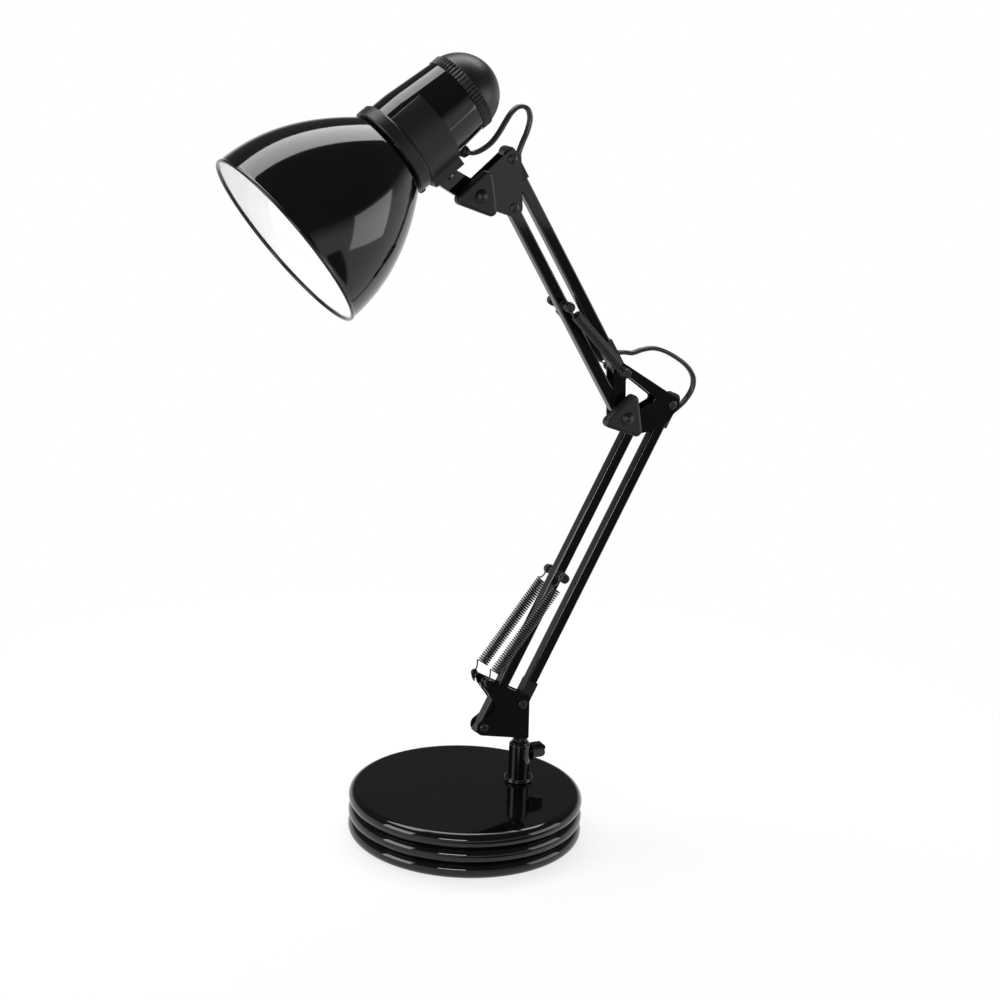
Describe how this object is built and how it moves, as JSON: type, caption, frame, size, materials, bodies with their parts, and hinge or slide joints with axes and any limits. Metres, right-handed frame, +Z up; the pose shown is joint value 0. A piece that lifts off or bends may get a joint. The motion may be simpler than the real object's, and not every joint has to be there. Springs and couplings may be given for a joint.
{
  "type": "architect lamp",
  "caption": "Black architect desk lamp: weighted round base, two sprung parallelogram arms of square tube, knob-clamped joints and a bell shade on a tilting head.",
  "frame": {"origin": "centre of the base's underside, on the table", "axes": "+Z up, the arms fold in the XZ plane, the shade looks towards -X, the knobs are on the -Y side"},
  "size_m": [0.2619, 0.124, 0.4098],
  "materials": {
    "gloss_black_paint": "gloss black paint on steel",
    "shade_paint": "gloss black paint outside, matt white paint inside",
    "matt_black_plastic": "matt black moulded plastic",
    "bright_steel": "zinc plated steel",
    "spring_steel": "drawn spring wire",
    "iron": "rough cast iron",
    "foam": "soft foam sheet",
    "flex_sheath": "satin black flex",
    "white_plastic": "white heatproof plastic",
    "brass": "bare brass",
    "bulb_cap_metal": "bare aluminium",
    "opal_glass": "soft white coated glass"
  },
  "bodies": {
    "base": {"base_cover": "gloss_black_paint", "base_weight": "iron", "base_plate": "bright_steel", "base_pad": "foam", "post": "gloss_black_paint", "post_bolt": "bright_steel"},
    "thumbscrew": {"thumbscrew": "gloss_black_paint"},
    "swivel": {"swivel_spindle": "gloss_black_paint", "lower_bracket_near": "gloss_black_paint", "lower_bracket_far": "gloss_black_paint", "shoulder_screws": "bright_steel", "shoulder_nuts": "bright_steel", "lower_spring_near": "spring_steel", "lower_spring_far": "spring_steel"},
    "lower_front": {"lower_front_tube": "gloss_black_paint", "lower_spring_pin": "matt_black_plastic"},
    "lower_rear": {"lower_rear_tube": "gloss_black_paint", "lower_flex_guides": "matt_black_plastic", "lower_flex": "flex_sheath"},
    "elbow": {"elbow_plate_near": "gloss_black_paint", "elbow_plate_far": "gloss_black_paint", "elbow_screws": "bright_steel", "elbow_nuts": "bright_steel", "elbow_spring_bolt": "matt_black_plastic", "elbow_bolt": "bright_steel", "elbow_washer": "bright_steel", "elbow_flex_upper": "flex_sheath", "elbow_flex_lower": "flex_sheath", "upper_springs": "spring_steel", "upper_spring_sleeves": "matt_black_plastic"},
    "elbow_knob": {"elbow_knob": "matt_black_plastic"},
    "upper_front": {"upper_front_tube": "gloss_black_paint", "upper_spring_pin": "matt_black_plastic"},
    "upper_rear": {"upper_rear_tube": "gloss_black_paint", "upper_flex_guides": "matt_black_plastic", "upper_flex": "flex_sheath"},
    "head_bracket": {"head_plate_near": "gloss_black_paint", "head_plate_far": "gloss_black_paint", "head_screws": "bright_steel", "head_nuts": "bright_steel", "tilt_bolt": "bright_steel", "tilt_washer": "bright_steel", "head_flex_middle": "flex_sheath", "head_flex_rear": "flex_sheath"},
    "tilt_knob": {"tilt_knob": "matt_black_plastic"},
    "stem": {"tilt_stem": "gloss_black_paint", "swivel_nut": "bright_steel", "head_flex_front": "flex_sheath"},
    "head": {"saddle": "matt_black_plastic", "collar_ring": "matt_black_plastic", "housing": "gloss_black_paint", "flex_gland": "matt_black_plastic", "lampholder": "white_plastic", "lampholder_shell": "brass", "lampholder_contact": "brass", "switch_body": "matt_black_plastic", "shade": "shade_paint", "bulb_glass": "opal_glass", "bulb_cap": "bulb_cap_metal"},
    "switch": {"dome_switch": "matt_black_plastic"}
  },
  "joints": [
    {"name": "swivel_turn", "type": "hinge", "parent": "base", "child": "swivel", "pos_m": [0.0311, 0, 0.0466], "axis": [0, 0, 1], "range_deg": [-170, 170]},
    {"name": "thumbscrew_turn", "type": "hinge", "parent": "base", "child": "thumbscrew", "pos_m": [0.0373, 0, 0.0408], "axis": [1, 0, 0], "range_deg": [0, 360]},
    {"name": "lower_arm_fold", "type": "hinge", "parent": "swivel", "child": "lower_rear", "pos_m": [0.0296, 0, 0.07009], "axis": [0, 1, 0], "range_deg": [-50, 18]},
    {"name": "lower_front_fold", "type": "hinge", "parent": "swivel", "child": "lower_front", "pos_m": [0.0074, 0, 0.0595], "axis": [0, 1, 0], "range_deg": [-50, 18], "deforming": ["lower_spring_near", "lower_spring_far"]},
    {"name": "elbow_fold", "type": "hinge", "parent": "lower_rear", "child": "elbow", "pos_m": [0.1101, 0, 0.22807], "axis": [0, 1, 0], "range_deg": [-18, 50], "deforming": ["elbow_flex_lower"]},
    {"name": "upper_arm_fold", "type": "hinge", "parent": "elbow", "child": "upper_rear", "pos_m": [0.07798, 0, 0.24819], "axis": [0, 1, 0], "range_deg": [-60, 9], "deforming": ["elbow_flex_upper"]},
    {"name": "upper_front_fold", "type": "hinge", "parent": "elbow", "child": "upper_front", "pos_m": [0.07999, 0, 0.22418], "axis": [0, 1, 0], "range_deg": [-60, 9], "deforming": ["upper_springs", "upper_spring_sleeves"]},
    {"name": "head_bracket_fold", "type": "hinge", "parent": "upper_rear", "child": "head_bracket", "pos_m": [0.01061, 0, 0.35856], "axis": [0, 1, 0], "range_deg": [-9, 60], "deforming": ["head_flex_rear"]},
    {"name": "elbow_knob_turn", "type": "hinge", "parent": "elbow", "child": "elbow_knob", "pos_m": [0.07999, 0, 0.22418], "axis": [0, -1, 0], "range_deg": [0, 270]},
    {"name": "head_tilt", "type": "hinge", "parent": "head_bracket", "child": "stem", "pos_m": [-0.00877, 0, 0.34184], "axis": [0, 1, 0], "range_deg": [-65, 30], "deforming": ["head_flex_middle"]},
    {"name": "tilt_knob_turn", "type": "hinge", "parent": "head_bracket", "child": "tilt_knob", "pos_m": [-0.00877, 0, 0.34184], "axis": [0, -1, 0], "range_deg": [0, 270]},
    {"name": "head_swivel", "type": "hinge", "parent": "stem", "child": "head", "pos_m": [-0.02542, 0, 0.35284], "axis": [0.6136, 0, -0.7896], "range_deg": [-60, 60], "deforming": ["head_flex_front"]},
    {"name": "switch_turn", "type": "hinge", "parent": "head", "child": "switch", "pos_m": [-0.01754, 0, 0.39012], "axis": [0.7896, 0, 0.6136], "range_deg": [0, 90]}
  ],
  "couplings": [
    {"joint": "lower_front_fold", "follows": "lower_arm_fold", "ratio": 1},
    {"joint": "elbow_fold", "follows": "lower_arm_fold", "ratio": -1},
    {"joint": "upper_front_fold", "follows": "upper_arm_fold", "ratio": 1},
    {"joint": "head_bracket_fold", "follows": "upper_arm_fold", "ratio": -1}
  ]
}
